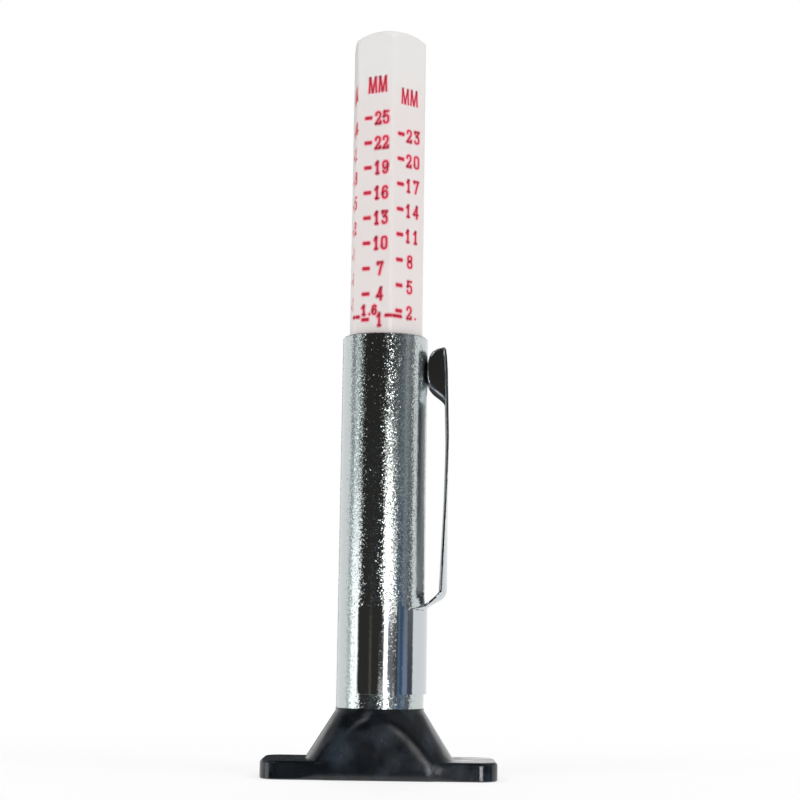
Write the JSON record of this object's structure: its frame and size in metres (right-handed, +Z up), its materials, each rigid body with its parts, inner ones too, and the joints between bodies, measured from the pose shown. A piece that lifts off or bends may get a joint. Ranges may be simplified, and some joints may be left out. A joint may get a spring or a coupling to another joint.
{
  "type": "tire tread depth gauge",
  "caption": "Pencil-type depth gauge: a six-sided scale stick slides in a chrome barrel on a T-shaped foot and pushes a thin probe out of the foot; a sprung pocket clip stands at the side.",
  "frame": {"origin": "centre of the foot's underside, on the barrel's axis", "axes": "+Z up along the barrel and the stick, +X along the foot's two ears, on the side of the pocket clip"},
  "size_m": [0.0264, 0.0108, 0.0875],
  "materials": {
    "black_plastic": "moulded, semi-gloss, scuffed",
    "barrel_chrome": "chrome plate over a lightly pitted drawn tube",
    "clip_chrome": "bright chrome plate",
    "white_plastic": "milky white, satin, red filled scale",
    "scale_ink": "red marks, slightly bled at their edges",
    "probe_steel": "ground",
    "sleeve_nylon": "natural nylon",
    "ring_rubber": "matt"
  },
  "bodies": {
    "gauge_body": {"foot": "black_plastic", "barrel": "barrel_chrome", "clip_band": "clip_chrome"},
    "clip": {"clip_arm": "clip_chrome"},
    "ring": {"friction_ring": "ring_rubber"},
    "stick": {"scale_stick": "white_plastic", "probe_pin": "probe_steel", "guide_sleeve": "sleeve_nylon"}
  },
  "joints": [
    {"name": "stick_slide", "type": "slide", "parent": "gauge_body", "child": "ring", "axis": [0, 0, -1], "range_m": [0, 0.02565]},
    {"name": "stick_turn", "type": "hinge", "parent": "ring", "child": "stick", "pos_m": [0, 0, 0.045], "axis": [0, 0, 1], "continuous": true},
    {"name": "clip_flex", "type": "hinge", "parent": "gauge_body", "child": "clip", "pos_m": [0.00526, 0, 0.01871], "axis": [0, 1, 0], "range_deg": [0, 5], "stiffness_Nm_per_rad": 2.4}
  ]
}
